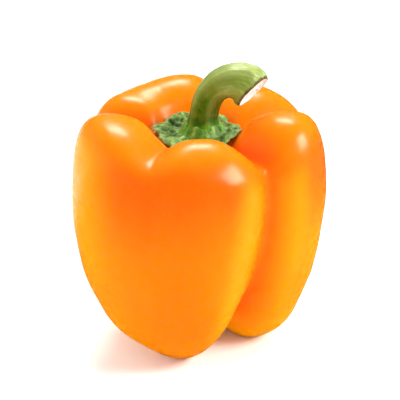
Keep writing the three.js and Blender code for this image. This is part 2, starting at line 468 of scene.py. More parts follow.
@dataclass(frozen=True)
class SkinFinish(Finish):
    """The fruit's waxy skin: painted light makes it golden low down and on the flanks, painted shade redder
    on the brows and in the grooves.
    """

    body: Colour = (0.95, 0.192, 0.0003)
    # Painted light: the yellower colour low down and on the flanks.
    painted_light: Colour = (0.99, 0.385, 0.0005)
    # Painted shade: the redder colour on the brows.
    painted_shade: Colour = (0.94, 0.112, 0.0002)
    # Painted shade: the darker, redder colour in the grooves.
    groove: Colour = (0.90, 0.125, 0.0002)
    speck: Colour = (0.98, 0.38, 0.004)
    scar: Colour = (0.20, 0.085, 0.02)
    speck_share: float = 0.14
    dimple: float = 0.01 * MM
    dimple_share: float = 0.2
    roughness: float = 0.27
    specular: float = 0.09
    tint: Colour = (1.0, 0.86, 0.66)
    bleed_share: float = 0.18
    bleed: Colour = (1.0, 0.34, 0.02)
    bleed_depth: float = 2.5 * MM

    def build(self, effects: Effects) -> bpy.types.Material:
        """Builds the material.

        Three painted masks colour the skin in turn, each made uneven by soft patches: painted light low
        down and on the flanks, then painted shade on the brows and in the grooves. Faint specks and the
        dry blossom scar lie over them, and the wax has tiny dimples.

        Args:
            effects: The shared effects.

        Returns:
            The finished material.
        """
        material, graph, shader = self.start("waxy_skin")
        place = graph.place()
        patches = graph.effect(effects.mottle, {"Place": place, "Scale": 38.0, "Contrast": 1.6})
        fine = graph.effect(effects.mottle, {"Place": place, "Scale": 260.0, "Contrast": 1.4})
        specks = graph.effect(effects.specks, {"Place": place, "Scale": 620.0, "Radius": 0.22, "Share": 0.35})
        scar = graph.attribute("scar")
        uneven = graph.span(patches, 0.1, 0.9, (0.8, 1.1))
        colour = self.body
        # Painted light low down and on the flanks, then painted shade on the brows and in the grooves.
        for mask, painted in (("painted_light", self.painted_light), ("painted_shade", self.painted_shade), ("groove", self.groove)):
            share = graph.math("MULTIPLY", graph.attribute(mask), uneven, clamp=True)
            colour = graph.blend(share, colour, painted)
        colour = graph.blend(graph.math("MULTIPLY", specks, self.speck_share), colour, self.speck)
        colour = graph.blend(scar, colour, self.scar)
        wax = graph.span(fine, 0.2, 0.8, (self.roughness - 0.02, self.roughness + 0.04))
        graph.feed(shader.inputs["Base Color"], colour)
        graph.feed(shader.inputs["Roughness"], graph.math("ADD", wax, graph.math("MULTIPLY", scar, 0.5)))
        dimples = graph.add("TexNoise", {"Vector": place, "Scale": 240.0, "Detail": 2.0}).outputs["Fac"]
        height = graph.math("SUBTRACT", dimples, graph.math("MULTIPLY", specks, 0.5))
        graph.feed(shader.inputs["Normal"], graph.bump(height, self.dimple, self.dimple_share))
        return material


@dataclass(frozen=True)
class CalyxFinish(Finish):
    """The calyx's leafy tissue: satin green, paler on ridges and edges, with painted shade in its pits and a
    painted highlight on the collar's flutes.
    """

    leaf: Colour = (0.058, 0.150, 0.014)
    ridge: Colour = (0.300, 0.440, 0.100)
    # Painted shade in the pits and in the hollows of the crumpled surface.
    shaded_pit: Colour = (0.010, 0.034, 0.004)
    edge: Colour = (0.330, 0.430, 0.140)
    collar: Colour = (0.080, 0.245, 0.004)
    # A painted highlight on the collar's flutes, strongest on the side that flute_az faces.
    flute: Colour = (0.50, 0.58, 0.14)
    flute_highlight_share: float = 0.75
    relief: float = 0.35 * MM
    relief_share: float = 0.8
    roughness: float = 0.46
    specular: float = 0.12
    tint: Colour = (0.9, 1.0, 0.7)
    bleed_share: float = 0.1
    bleed_depth: float = 0.8 * MM

    def build(self, effects: Effects) -> bpy.types.Material:
        """Builds the material: painted masks, made uneven by coarse and fine mottling.

        Args:
            effects: The shared effects.

        Returns:
            The finished material.
        """
        material, graph, shader = self.start("calyx_leaf")
        place = graph.place()
        coarse = graph.effect(effects.mottle, {"Place": place, "Scale": 420.0, "Contrast": 3.2})
        fine = graph.effect(effects.mottle, {"Place": place, "Scale": 1500.0, "Contrast": 2.2})
        colour = graph.blend(graph.patchy("ridge", coarse, 0.1, 0.9, (0.5, 1.0)), self.leaf, self.ridge)
        colour = graph.blend(graph.span(coarse, 0.62, 0.95, (0.0, 0.55)), colour, self.ridge)
        colour = graph.blend(graph.attribute("hub"), colour, self.collar)
        # A painted highlight on the collar's flutes.
        flute = graph.math("MULTIPLY", graph.attribute("flute"), self.flute_highlight_share)
        colour = graph.blend(flute, colour, self.flute)
        # Painted shade in the pits and in the crumple's hollows.
        colour = graph.blend(graph.patchy("shaded_pit", coarse, 0.0, 1.0, (1.0, 0.7)), colour, self.shaded_pit)
        colour = graph.blend(graph.patchy("edge", coarse, 0.25, 0.8, (0.15, 0.9)), colour, self.edge)
        grain = graph.span(fine, 0.0, 1.0, (0.72, 1.2))
        grained = graph.add("HueSaturation", {"Value": grain, "Color": colour}).outputs["Color"]
        satin = graph.span(fine, 0.2, 0.8, (self.roughness - 0.1, self.roughness + 0.14))
        height = graph.math("ADD", coarse, graph.math("MULTIPLY", fine, 0.35))
        graph.feed(shader.inputs["Base Color"], grained)
        graph.feed(shader.inputs["Roughness"], satin)
        graph.feed(shader.inputs["Normal"], graph.bump(height, self.relief, self.relief_share))
        return material


@dataclass(frozen=True)
class BarkFinish(Finish):
    """The stem's skin: dark green low down, partly painted shade, yellow-green above, with lengthwise
    streaks.
    """

    base: Colour = (0.085, 0.250, 0.004)
    # Dark green low down on the stem, partly its own colour and partly painted shade.
    low: Colour = (0.024, 0.105, 0.001)
    middle: Colour = (0.115, 0.175, 0.002)
    high: Colour = (0.175, 0.235, 0.030)
    rib: Colour = (0.34, 0.40, 0.09)
    streak: Colour = (0.085, 0.115, 0.008)
    # Pale bloom in streaks, and the colour of the painted sheen on the outside of the bend.
    bloom_and_sheen: Colour = (0.42, 0.50, 0.20)
    rim: Colour = (0.085, 0.050, 0.016)
    speck_share: float = 0.35
    waver: float = 0.36
    relief: float = 0.2 * MM
    relief_share: float = 0.6
    roughness: float = 0.40
    specular: float = 0.10
    tint: Colour = (0.9, 1.0, 0.7)
    bleed_share: float = 0.08

    def build(self, effects: Effects) -> bpy.types.Material:
        """Builds the material.

        Three greens follow the base colour up the stem, and patches make their borders waver; the dark
        green low down is partly painted shade. Ribs, dark and pale streaks, a painted sheen on the outside
        of the bend and the dry rim lie over them.

        Args:
            effects: The shared effects.

        Returns:
            The finished material.
        """
        material, graph, shader = self.start("stem_bark")
        place = graph.place()
        flow = graph.attribute("flow", "Vector")
        along = graph.attribute("along")
        streaks = graph.effect(effects.mottle, {"Place": flow, "Scale": 900.0, "Contrast": 2.4})
        patches = graph.effect(effects.mottle, {"Place": place, "Scale": 210.0, "Contrast": 2.4})
        specks = graph.effect(effects.specks, {"Place": place, "Scale": 900.0, "Share": 0.3})
        drift = graph.math("MULTIPLY", graph.math("SUBTRACT", patches, 0.5), self.waver)
        reach = graph.math("ADD", along, drift)
        colour = self.base
        # The dark green low down is partly painted shade.
        for start, end, green in ((0.02, 0.17, self.low), (0.16, 0.42, self.middle), (0.34, 0.66, self.high)):
            colour = graph.blend(graph.span(reach, start, end), colour, green)
        colour = graph.blend(graph.patchy("rib", along, 0.05, 0.5, (0.18, 0.42)), colour, self.rib)
        colour = graph.blend(graph.span(streaks, 0.6, 0.9, (0.0, 0.22)), colour, self.streak)
        pale = graph.span(streaks, 0.38, 0.12, (0.0, 0.25))
        colour = graph.blend(graph.math("MULTIPLY", pale, graph.span(along, 0.3, 0.7)), colour, self.bloom_and_sheen)
        # A painted sheen on the outside of the bend, towards the cut.
        painted_sheen = graph.patchy("upper", patches, 0.25, 0.8, (0.3, 0.8))
        colour = graph.blend(graph.math("MULTIPLY", painted_sheen, graph.span(along, 0.5, 0.85)), colour, self.bloom_and_sheen)
        colour = graph.blend(graph.math("MULTIPLY", specks, self.speck_share), colour, self.rib)
        colour = graph.blend(graph.patchy("rim", streaks, 0.1, 0.7, (0.55, 1.0)), colour, self.rim)
        satin = graph.span(streaks, 0.2, 0.8, (self.roughness - 0.08, self.roughness + 0.14))
        height = graph.math("SUBTRACT", patches, graph.math("MULTIPLY", streaks, 0.8))
        graph.feed(shader.inputs["Base Color"], colour)
        graph.feed(shader.inputs["Roughness"], satin)
        graph.feed(shader.inputs["Normal"], graph.bump(height, self.relief, self.relief_share))
        return material


@dataclass(frozen=True)
class PithFinish(Finish):
    """The dry cut end: pale spongy pith with a brown ring just inside the bark."""

    pith: Colour = (0.86, 0.87, 0.83)
    fleck: Colour = (0.56, 0.50, 0.40)
    ring: Colour = (0.16, 0.10, 0.045)
    relief: float = 0.35 * MM
    relief_share: float = 0.8
    roughness: float = 0.85

    def build(self, effects: Effects) -> bpy.types.Material:
        """Builds the material: large and small flecks in the pith, then the ring.

        Args:
            effects: The shared effects.

        Returns:
            The finished material.
        """
        material, graph, shader = self.start("cut_pith")
        place = graph.place()
        cells = graph.effect(effects.mottle, {"Place": place, "Scale": 1300.0, "Contrast": 2.4})
        patches = graph.effect(effects.mottle, {"Place": place, "Scale": 330.0, "Contrast": 2.2})
        colour = graph.blend(graph.span(patches, 0.5, 1.0, (0.0, 0.4)), self.pith, self.fleck)
        colour = graph.blend(graph.span(cells, 0.6, 1.0, (0.0, 0.45)), colour, self.fleck)
        colour = graph.blend(graph.attribute("rim"), colour, self.ring)
        dull = graph.span(cells, 0.0, 1.0, (self.roughness - 0.1, self.roughness + 0.1))
        graph.feed(shader.inputs["Base Color"], colour)
        graph.feed(shader.inputs["Roughness"], dull)
        graph.feed(shader.inputs["Normal"], graph.bump(cells, self.relief, self.relief_share))
        return material


# ------------------------------------------------------------------------------ fruit


@dataclass(frozen=True)
class Lobe:
    """One lobe: its azimuths at seat, side and foot, and its radius and height at three levels.

    The last two are painted light, how much yellower it is low down, and painted shade, how much redder it is
    on the brow, each from 0 to 1.
    """

    azimuths: Triple
    crest: Pair
    side: Pair
    foot: Pair
    fullness: float
    painted_light: float
    painted_shade: float


@dataclass(frozen=True)
class Groove:
    """The groove after a lobe: its azimuths at seat, side and foot, and how far it cuts in.

    The drop is how far it lowers the crest, and brow the part of that which is left at the brow.
    """

    azimuths: Triple
    drop: float
    brow: float
    depth: float
    rise: float
    inset: float


@dataclass
class Level:
    """The sizes of every column at one ring of the profile."""

    phi: Array
    crest_r: Array
    crest_z: Array
    side_r: Array
    side_z: Array
    foot_r: Array
    foot_z: Array
    power: Array
    painted_light: Array
    painted_shade: Array


@dataclass
class Fruit:
    """The fruit's skin, from the seat of the calyx over the lobes to the blossom end.

    The skin passes through a ring of points at each knot of its profile: the middle of the seat,
    its level part, its lip, the dimple's wall, the crest, the brow, the widest side, three rings
    of the lower arc, the foot, a ring half as wide, and the blossom end. A ring takes its azimuths
    at a drift, which is 0 at the seat, 1 at the side and 2 at the foot. The drifts are those of
    lip, wall, crest and brow. The arcs are the drift and the angle of each ring of the lower arc.
    """

    lobes: tuple[Lobe, ...] = (
        Lobe((196, 196.2, 198), (0.0325, 0.0890), (0.0428, 0.0635), (0.0150, 0.0070), 2.6, 1.2, 0.0),
        Lobe((274, 270.9, 243), (0.0260, 0.0880), (0.0404, 0.0690), (0.0140, -0.0008), 2.1, 0.25, 1.0),
        Lobe((347, 348.4, 361), (0.0334, 0.0890), (0.0442, 0.0655), (0.0180, -0.0008), 2.15, 1.15, 0.9),
        Lobe((410, 410.3, 413), (0.0290, 0.0860), (0.0446, 0.0650), (0.0180, 0.0006), 2.15, 0.9, 0.5),
        Lobe((459, 459.7, 466), (0.0285, 0.0876), (0.0425, 0.0640), (0.0185, -0.0008), 2.15, 0.9, 0.5),
        Lobe((501, 500.9, 500), (0.0295, 0.0856), (0.0414, 0.0645), (0.0180, 0.0006), 2.1, 0.9, 0.3),
    )
    grooves: tuple[Groove, ...] = (
        Groove((229, 248.0, 226), 0.0056, 0.45, 0.0003, 0.0, 0.0),
        Groove((316, 315.6, 312), 0.0114, 1.0, 0.0096, 0.0195, 0.0060),
        Groove((373, 374.0, 383), 0.0086, 1.0, 0.0039, 0.0050, 0.0030),
        Groove((436, 436.5, 441), 0.0045, 1.0, 0.0035, 0.0050, 0.0030),
        Groove((481, 481.4, 485), 0.0003, 1.0, 0.0004, 0.0, 0.0),
        Groove((527, 527.5, 532), 0.0090, 1.0, 0.0049, 0.0050, 0.0030),
    )
    seat_r: float = 0.0140
    seat_z: float = 0.0780
    dimple_z: float = 0.0080
    seat_level: float = 0.62
    lip: float = 0.12
    wall_turn: float = 42.0
    crest_pull: float = 0.15
    drifts: tuple[float, float, float, float] = (0.1, 0.45, 0.68, 0.9)
    brow: Pair = (0.76, 0.707)
    arcs: tuple[Pair, ...] = ((1.33, 24.0), (1.72, 48.0), (1.94, 70.0))
    crease_power: float = 2.6
    crease_round: float = 0.1
    crowding: float = 1.25
    half_steps: int = 22
    rows: int = 300
    trial_rows: int = 120
    apron: float = 8.5 * MM
    swell: float = 0.35 * MM
    swell_length: float = 26 * MM
    waver: float = 0.05 * MM
    waver_length: float = 8 * MM
    uneven_from: float = 1 * MM
    uneven_over: float = 10 * MM
    scar_r: float = 2.2 * MM
    scar_edge: float = 0.8 * MM
    knots: tuple[float, ...] = (0, 0.5, 1, 1.5, 2.2, 3, 4, 5.2, 6.4, 7.4, 8, 8.5, 9)
    shift: Array = field(init=False)

    def __post_init__(self) -> None:
        """Lays out the columns and finds the shift that puts the fruit where the frame has it."""
        left = (1.0 - np.arange(self.half_steps) / self.half_steps) ** self.crowding
        count = len(self.lobes)
        self._lobe = np.repeat(np.arange(count), 2 * self.half_steps)
        self._share = np.tile(np.concatenate([1.0 - left, left]), count)
        self._share[self.half_steps :: 2 * self.half_steps] = 1.0
        self._after = np.tile(np.repeat([True, False], self.half_steps), count)
        self._rings = self._control_rings()
        self.shift = np.zeros(3)
        plain = self.surface(np.linspace(0, self.knots[-1], self.trial_rows)[1:-1, None])
        low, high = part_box("fruit")
        wanted = (np.array(low) + np.array(high)) / 2
        found = (plain.reshape(-1, 3).min(0) + plain.reshape(-1, 3).max(0)) / 2
        self.shift = np.array([wanted[0] - found[0], wanted[1] - found[1], low[2]])

    def groove_share(self) -> Array:
        """How much of its groove each column takes: 0 on a crest, 1 in the groove.

        It is 1 less the distance to the groove, the tip of that distance rounded off, and
        raised to a power.

        Returns:
            One share for each column.
        """
        full = math.hypot(1.0, self.crease_round) - self.crease_round
        away = (np.hypot(1.0 - self._share, self.crease_round) - self.crease_round) / full
        return np.maximum(0.0, 1.0 - away) ** self.crease_power

    def level(self, drift: float, on_brow: bool = False) -> Level:
        """The sizes of all columns at one drift of their azimuths.

        Args:
            drift: 0 for the azimuths of the seat, 1 for those of the side, 2 for those of the foot.
            on_brow: Whether to take only the drop that is left at the brow.

        Returns:
            The sizes, blended smoothly between neighbouring lobes and cut by the grooves.
        """
        after = (self._lobe + 1) % len(self.lobes)
        centre = np.array([np.interp(drift, (0, 1, 2), lobe.azimuths) for lobe in self.lobes])
        crease = np.array([np.interp(drift, (0, 1, 2), cut.azimuths) for cut in self.grooves])
        start = centre[self._lobe]
        end = centre[after] + np.where(after == 0, 360.0, 0.0)
        phi = mix(np.where(self._after, start, end), crease[self._lobe], self._share)
        t = ease((phi - start) / (end - start))
        sizes = np.array([
            [*lobe.crest, *lobe.side, *lobe.foot, lobe.fullness, lobe.painted_light, lobe.painted_shade] for lobe in self.lobes
        ])
        blended = mix(sizes[self._lobe], sizes[after], t[:, None]).T
        crest_r, crest_z, side_r, side_z, foot_r, foot_z, power, painted_light, painted_shade = blended
        drops = [cut.drop * (cut.brow if on_brow else 1.0) for cut in self.grooves]
        cuts = np.array([[drop, cut.depth, cut.rise, cut.inset] for drop, cut in zip(drops, self.grooves)])
        drop, depth, rise, inset = (cuts[self._lobe] * self.groove_share()[:, None]).T
        return Level(
            phi=phi,
            crest_r=crest_r - self.crest_pull * drop,
            crest_z=crest_z - drop,
            side_r=side_r - depth,
            side_z=side_z,
            foot_r=foot_r - inset,
            foot_z=foot_z + rise,
            power=power,
            painted_light=painted_light,
            painted_shade=painted_shade,
        )

    def lower_arc(self, drift: float, angle: float) -> tuple[Array, Array, Array]:
        """A ring on the arc from the widest side to the foot: a superellipse at an angle.

        Args:
            drift: The drift of the ring's azimuths.
            angle: 0 at the side and 90 at the foot, in degrees.

        Returns:
            The azimuth, radius and height of each column.
        """
        at = self.level(drift)
        radius = mix(at.foot_r, at.side_r, cosine(angle) ** (2.0 / at.power))
        return at.phi, radius, mix(at.side_z, at.foot_z, sine(angle) ** (2.0 / at.power))

    def _control_rings(self) -> Array:
        """The rings that the skin passes through.

        Returns:
            One ring for each knot, by columns, with x, y and z on the last axis.
        """
        at_lip, at_wall, at_crest, at_brow = self.drifts
        top, lip, wall = self.level(0.0), self.level(at_lip), self.level(at_wall)
        crest, brow = self.level(at_crest), self.level(at_brow, on_brow=True)
        side, foot = self.level(1.0), self.level(2.0)
        out, up = 1.0 - cosine(self.wall_turn), sine(self.wall_turn)
        brow_out, brow_up = self.brow
        none = np.zeros_like(top.phi)
        rings = [
            (top.phi, none, none + self.seat_z),
            (top.phi, none + self.seat_level * self.seat_r, none + self.seat_z),
            (lip.phi, none + self.seat_r, mix(self.seat_z, lip.crest_z, self.lip)),
            (wall.phi, mix(self.seat_r, wall.crest_r, out), mix(self.seat_z, wall.crest_z, up)),
            (crest.phi, crest.crest_r, crest.crest_z),
            (brow.phi, mix(brow.crest_r, brow.side_r, brow_out), mix(brow.side_z, brow.crest_z, brow_up)),
            (side.phi, side.side_r, side.side_z),
            *(self.lower_arc(drift, angle) for drift, angle in self.arcs),
            (foot.phi, foot.foot_r, foot.foot_z),
            (foot.phi, 0.5 * foot.foot_r, mix(foot.foot_z, self.dimple_z, 0.5)),
            (foot.phi, none, none + self.dimple_z),
        ]
        return np.array([np.stack([r * cosine(phi), r * sine(phi), z], -1) for phi, r, z in rings])

    def surface(self, at: Array) -> Array:
        """Places on the smooth skin: a spline through the rings down each column.

        Args:
            at: Profile places from 0 to the last knot, as rows by columns, or rows by 1.

        Returns:
            The places, with x, y and z on the last axis, flattened where they meet the table.
        """
        weights = spline_weights(np.array(self.knots, float), at, Ends.LEVEL)
        weights = np.broadcast_to(weights, (len(at), len(self._lobe), len(self.knots)))
        points = np.einsum("rck,kcx->rcx", weights, self._rings)
        points[..., 2] = np.maximum(points[..., 2], 0.0)
        return points + self.shift

    def on_seat(self, radius: Array) -> Array:
        """Places on the fruit's top at a radius from its middle.

        The seat's rings have the same radii in all columns, so the profile place up to the seat's
        edge is found by interpolation, and beyond it grows in step with the radius.

        Args:
            radius: The radii, as rows by columns.

        Returns:
            The places, with x, y and z on the last axis.
        """
        known = np.linspace(0.0, 1.0, 60)
        weights = spline_weights(np.array(self.knots, float), known, Ends.LEVEL)
        radii = np.linalg.norm(self._rings[..., :2], axis=-1)[:, 0]
        inner = np.interp(radius, weights @ radii, known)
        return self.surface(inner + np.maximum(radius - self.seat_r, 0.0) / self.apron)

    @property
    def azimuths(self) -> Array:
        """The azimuth of each column at the top, in degrees."""
        return self.level(0.0).phi

    def uneven(self, points: Array) -> Array:
        """Adds the slight swells and wavers of real skin, along its normals.

        Both are ripples, and both fade out where the skin meets the table.

        Args:
            points: Places on the skin, as rows by columns.

        Returns:
            The moved places.
        """
        normals = ring_normals(points)
        height = ease((points[..., 2] - self.uneven_from) / self.uneven_over)
        broad = self.swell * ripple(points, self.swell_length, 1.0)
        small = self.waver * ripple(points, self.waver_length, 2.0)
        return points + normals * (height * (broad + small))[..., None]

    def build(self, finish: bpy.types.Material) -> bpy.types.Object:
        """Makes the fruit and dresses it.

        Args:
            finish: The skin's material.

        Returns:
            The finished piece.
        """
        last = self.knots[-1]
        at = np.linspace(0.0, last, self.rows + 2)[1:-1, None]
        points = self.uneven(self.surface(at))
        start = self.shift + (0.0, 0.0, self.seat_z)
        end = self.shift + (0.0, 0.0, self.dimple_z)
        piece = ring_mesh("fruit_skin", points, start, end)
        for name, values in self._masks(points, np.broadcast_to(at, points.shape[:2])).items():
            paint(piece, name, values)
        piece.data.materials.append(finish)
        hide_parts("fruit")
        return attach(piece, BODY)

    def _masks(self, points: Array, at: Array) -> dict[str, Array]:
        """Where painted light makes the skin golden, where painted shade makes it redder on a brow or in a
        groove, and where the blossom scar is.

        Each mask is a product of smooth steps over the profile place and over the share of the way
        to the groove. Flanks are the strips beside a groove, which take painted light, and red is how much
        painted shade a brow takes.

        Args:
            points: Places on the skin, as rows by columns.
            at: The profile place of each.

        Returns:
            The masks by name, each from 0 to 1.
        """
        drops = np.array([cut.drop for cut in self.grooves])
        depths = np.array([cut.depth for cut in self.grooves])
        drop, depth = (drops / drops.max())[self._lobe], (depths / depths.max())[self._lobe]
        deep = mix(drop, depth, ease((at - 3.6) / 1.6))
        # Painted shade in the grooves, darker where a groove cuts deeper.
        groove = deep * self.groove_share() ** 1.4 * ease((at - 0.6) / 1.2) * ease(8.4 - at)
        flank = ease((self._share - 0.3) / 0.35) * (1.0 - ease((self._share - 0.84) / 0.16))
        flank = flank * np.minimum(1.0, 2.2 * depth)
        # Painted shade makes the brows redder; painted light makes the skin golden low down, on the flanks
        # and on the brows of lobes with little shade.
        tone = self.level(1.0)
        red = ease(1.6 * tone.painted_shade)
        low = tone.painted_light * (0.4 * ease((at - 3.8) / 1.4) + 0.4 * ease((at - 5.8) / 1.4)) + 0.3 * ease(at - 6.4)
        brow = 0.6 * (1.0 - red) * ease((at - 2.5) / 0.7)
        # Painted shade on the brows, less on the flanks.
        painted_shade = red * ease((at - 2.4) / 0.8) * ease((4.8 - at) / 1.3) * (1.0 - 0.8 * flank)
        painted_light = np.maximum(brow, ease((at - 3.0) / 0.8) * np.maximum(low, 0.85 * flank))
        centre = np.hypot(points[..., 0] - self.shift[0], points[..., 1] - self.shift[1])
        underneath = ease((at - 6.0) / 0.1)
        scar = underneath * ease((self.scar_r - centre) / self.scar_edge)
        return {"painted_light": painted_light.clip(0, 1), "painted_shade": painted_shade, "groove": groove, "scar": scar}


# ------------------------------------------------------------------------------ calyx


@dataclass
class Calyx:
    """The ragged green disc that fills the fruit's seat and rises into the stem.

    Its edge has pointed arches, leans one way and spreads wide on another. Past the seat it is
    stiff: it stays at a height of its own, a little lifted on one side, and doesn't follow the
    dimple's wall. The hub is the middle of the collar that the stem grows from.
    """

    fruit: Fruit
    radius: float = 12.6 * MM
    point: float = 2.3 * MM
    points: int = 6
    turn: float = -7.0
    sway: float = 5.0
    lean: float = 0.9 * MM
    lean_az: float = 235.0
    spread: float = 2.4 * MM
    spread_az: float = 324.0
    teeth: Triple = (0.38 * MM, 0.24 * MM, 0.14 * MM)
    lift: float = 1.3 * MM
    lift_az: float = 338.0
    stiff_r: float = 7.5 * MM
    stiff_over: float = 4 * MM
    stiff_z: float = 79.9 * MM
    leaf: float = 1.15 * MM
    thinnest: float = 0.35 * MM
    relief: Triple = (0.55 * MM, -0.75 * MM, 0.5 * MM)
    rim: float = 0.06
    hub: Pair = (2.4 * MM, 0.0)
    hub_r: float = 5.0 * MM
    hub_z: float = 81.0 * MM
    collar: float = 2.6 * MM
    collar_fall: float = 3.6 * MM
    collar_fade: float = 4.6 * MM
    flutes: int = 7
    flute: float = 0.35 * MM
    # flute_az also sets the side where the calyx finish paints the flutes' highlight.
    flute_az: float = -62.0
    rings: int = 72

    def reach(self, phi: Array) -> Array:
        """Radius of the ragged edge: pointed arches, a lean, a wider side and three sizes of teeth.

        Args:
            phi: Azimuths in degrees.

        Returns:
            The radius at each.
        """
        coarse, middling, small = self.teeth
        arch = np.abs(cosine(0.5 * self.points * self._bent(phi))) ** 3
        lean = self.lean * cosine(phi - self.lean_az)
        wider = self.spread * np.maximum(cosine(phi - self.spread_az), 0.0) ** 4
        teeth = coarse * sine(11 * phi + 20 * sine(3 * phi)) + middling * sine(23 * phi + 40)
        fringe = small * sine(41 * phi + 30 * sine(5 * phi))
        return self.radius + self.point * arch + lean + wider + teeth + fringe

    def build(self, finish: bpy.types.Material) -> bpy.types.Object:
        """Makes the calyx and dresses it.

        The top starts as a fluted collar round the stem and falls to a leaf of even thickness on
        the fruit. The leaf has a ridge out to each point, pits between the ridges and a crumpled
        surface. Its top and bottom close on each other at the rim by a quarter of a circle.

        Args:
            finish: The calyx's material.

        Returns:
            The finished piece.
        """
        phi = self.fruit.azimuths
        share = np.linspace(0.0, 1.0, self.rings + 1)[1:, None]
        radius = share * self.reach(phi)
        seat = self.fruit.on_seat(radius)
        under = self._under(seat[..., 2] + GAP, radius, phi, share)
        ridge, shaded_pit = self._ridge(phi, share), self._pit(phi, share)
        crumple = self._crumple(seat) * ease((share - 0.3) / 0.2) * ease((1.02 - share) / 0.12)
        high, deep, rough = self.relief
        top = under + self.leaf * (0.8 + 0.5 * (1 - share)) + (high * ridge + deep * shaded_pit + rough * crumple)
        from_hub, around = self._from_hub(seat)
        flute = cosine(self.flutes * (around - self.flute_az + 8 * sine(2 * around)))
        rise = (self.collar + self.flute * flute) * (1.0 - ease((from_hub - self.hub_r) / self.collar_fall))
        near = 1.0 - ease((from_hub - self.hub_r) / self.collar_fade)
        top = mix(np.maximum(top, under + self.thinnest), self.hub_z + rise, near)
        turned = ((share - 1.0 + self.rim) / self.rim).clip(0)
        closing = np.sqrt(np.clip(1.0 - turned**2, 0.0, 1.0))
        middle = (top + under) / 2
        upper = np.stack([seat[..., 0], seat[..., 1], middle + (top - middle) * closing], -1)
        lower = np.stack([seat[..., 0], seat[..., 1], middle + (under - middle) * closing], -1)
        start = self.fruit.shift + (0.0, 0.0, self.hub_z + self.collar)
        end = self.fruit.shift + (0.0, 0.0, self.fruit.seat_z + GAP)
        piece = ring_mesh("calyx_leaf", np.concatenate([upper, lower[:-1][::-1]]), start, end)
        masks = {
            "ridge": np.maximum(ridge, 0.8 * crumple.clip(0, 1)),
            # Where the painted shade lies: the pits and the crumple's hollows.
            "shaded_pit": np.maximum(shaded_pit, (-1.3 * crumple).clip(0, 1)),
            "edge": ease((share - 0.84) / 0.14) * np.ones_like(phi),
            "hub": 0.85 * near,
            # Where the painted highlight lies: on the flutes, strongest on the side that flute_az faces.
            "flute": near * flute.clip(0, 1) ** 6 * (0.45 + 0.55 * cosine(around - self.flute_az).clip(0, 1)),
        }
        for name, values in masks.items():
            paint(piece, name, np.concatenate([values, values[:-1][::-1]]))
        piece.data.materials.append(finish)
        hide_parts("calyx")
        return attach(piece, BODY)

    def _bent(self, phi: Array) -> Array:
        """Azimuths from the first point, swayed so that the arches differ in width."""
        return phi - self.turn + self.sway * sine(2 * phi)

    def _under(self, seat_z: Array, radius: Array, phi: Array, share: Array) -> Array:
        """Height of the leaf's underside: on the seat, and from the stiff radius on at its own height.

        Args:
            seat_z: Height of the seat, with the gap above it.
            radius: The radius of each point.
            phi: The azimuth of each column.
            share: The share of the way out of each row.

        Returns:
            The height at each point.
        """
        raised = self.lift * np.maximum(cosine(phi - self.lift_az), 0.0) ** 3 * ease((share - 0.45) / 0.5)
        stiff = np.maximum(seat_z, self.stiff_z + raised)
        return mix(seat_z, stiff, ease((radius - self.stiff_r) / self.stiff_over))

    def _from_hub(self, seat: Array) -> tuple[Array, Array]:
        """Distance and azimuth of places as seen from the middle of the collar.

        Args:
            seat: Places on the seat, with x, y and z on the last axis.

        Returns:
            The distance and the azimuth in degrees of each.
        """
        x = seat[..., 0] - self.fruit.shift[0] - self.hub[0]
        y = seat[..., 1] - self.fruit.shift[1] - self.hub[1]
        return np.hypot(x, y), np.degrees(np.arctan2(y, x))

    def _crumple(self, seat: Array) -> Array:
        """Fine unevenness of the leaf, about -1 to 1: two ripples, the coarser one folded."""
        folded = 1.0 - 2.0 * np.abs(ripple(seat, 3.4 * MM, 3.0))
        return 0.55 * folded + 0.55 * ripple(seat, 2.1 * MM, 7.0)

    def _ridge(self, phi: Array, share: Array) -> Array:
        """A ridge down the middle of each arch, and fainter ones that curve away beside it.

        Each is a cosine round the disc raised to a high power, faded at the hub and the edge.

        Args:
            phi: The azimuth of each column.
            share: The share of the way out of each row.

        Returns:
            The height of the ridges, from 0 to 1.
        """
        bent = self._bent(phi)
        main = np.abs(cosine(0.5 * self.points * bent)) ** 18
        side = 0.45 * np.abs(cosine(self.points * bent + 75 * share)) ** 12
        return np.maximum(main, side) * ease(share / 0.3) * ease((1.04 - share) / 0.35)

    def _pit(self, phi: Array, share: Array) -> Array:
        """A hollow between each two ridges, midway out, some deeper than others.

        It is a sine round the disc raised to a power, faded at both ends.

        Args:
            phi: The azimuth of each column.
            share: The share of the way out of each row.

        Returns:
            The depth of the pits, from 0 to 1.
        """
        between = np.abs(sine(0.5 * self.points * (phi - self.turn) + 14 * sine(5 * phi))) ** 5
        uneven = 0.65 + 0.35 * cosine(phi - 150) * cosine(2 * phi)
        return uneven * between * ease((share - 0.45) / 0.14) * ease((0.9 - share) / 0.16)


# ------------------------------------------------------------------------------ stem


